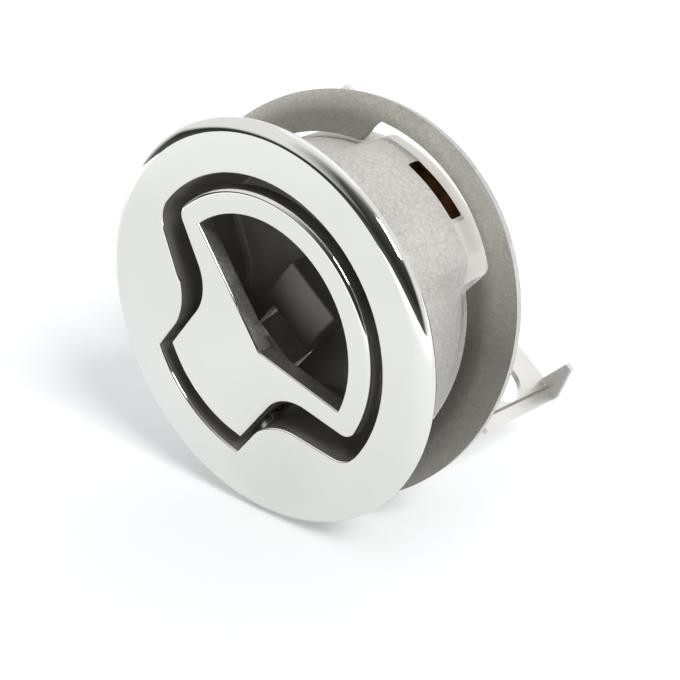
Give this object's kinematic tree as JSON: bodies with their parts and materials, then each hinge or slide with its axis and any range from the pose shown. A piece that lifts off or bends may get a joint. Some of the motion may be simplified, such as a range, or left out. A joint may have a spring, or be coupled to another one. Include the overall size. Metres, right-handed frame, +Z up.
{
  "type": "flush deck latch",
  "caption": "Round flush deck latch: polished bezel and flush pull handle in a cast cup, with a sliding mounting plate and a sprung sheet pawl that hooks a keeper.",
  "frame": {"origin": "centre of the panel seat, on the latch axis in the plane of the back of the bezel", "axes": "+Y along the latch axis, from the face to the rear; +Z up, as the latch lies on its rim with the handle's finger side turned 40 degrees from up towards +X; +X to the right seen from the face"},
  "size_m": [0.0658, 0.0471, 0.0643],
  "materials": {
    "polished_cast": "mirror-polished face and handle, bead-blasted barrel",
    "plate_steel": "satin, blotchy",
    "sheet_steel": "satin",
    "pin_steel": "turned",
    "spring_wire": "drawn wire"
  },
  "bodies": {
    "cup": {"cup": "polished_cast", "handle_pin": "pin_steel", "handle_spring": "spring_wire", "pawl_bracket": "sheet_steel", "bracket_screw_left": "pin_steel", "bracket_screw_right": "pin_steel", "lock_washer_left": "pin_steel", "lock_washer_right": "pin_steel", "pawl_pin": "pin_steel", "pawl_spring": "spring_wire", "pawl_washer_left": "pin_steel", "pawl_washer_right": "pin_steel", "pawl_clip_left": "spring_wire", "pawl_clip_right": "spring_wire"},
    "handle": {"handle": "polished_cast"},
    "pawl": {"pawl": "sheet_steel"},
    "plate": {"mounting_plate": "plate_steel"}
  },
  "joints": [
    {"name": "handle_lift", "type": "hinge", "parent": "cup", "child": "handle", "pos_m": [-0.00996, 0.0026, -0.01187], "axis": [0.766, 0, -0.6428], "range_deg": [0, 35], "stiffness_Nm_per_rad": 0.06, "springref_deg": -28.65, "deforming": ["handle_spring"]},
    {"name": "pawl_swing", "type": "hinge", "parent": "cup", "child": "pawl", "pos_m": [-0.00276, 0.027, -0.00329], "axis": [0.766, 0, -0.6428], "range_deg": [-18, 0], "stiffness_Nm_per_rad": 0.06, "springref_deg": 22.92, "deforming": ["pawl_spring"]},
    {"name": "plate_slide", "type": "slide", "parent": "cup", "child": "plate", "axis": [0, 1, 0], "range_m": [-0.002, 0.006]}
  ],
  "couplings": [
    {"joint": "pawl_swing", "follows": "handle_lift", "ratio": -0.5}
  ]
}
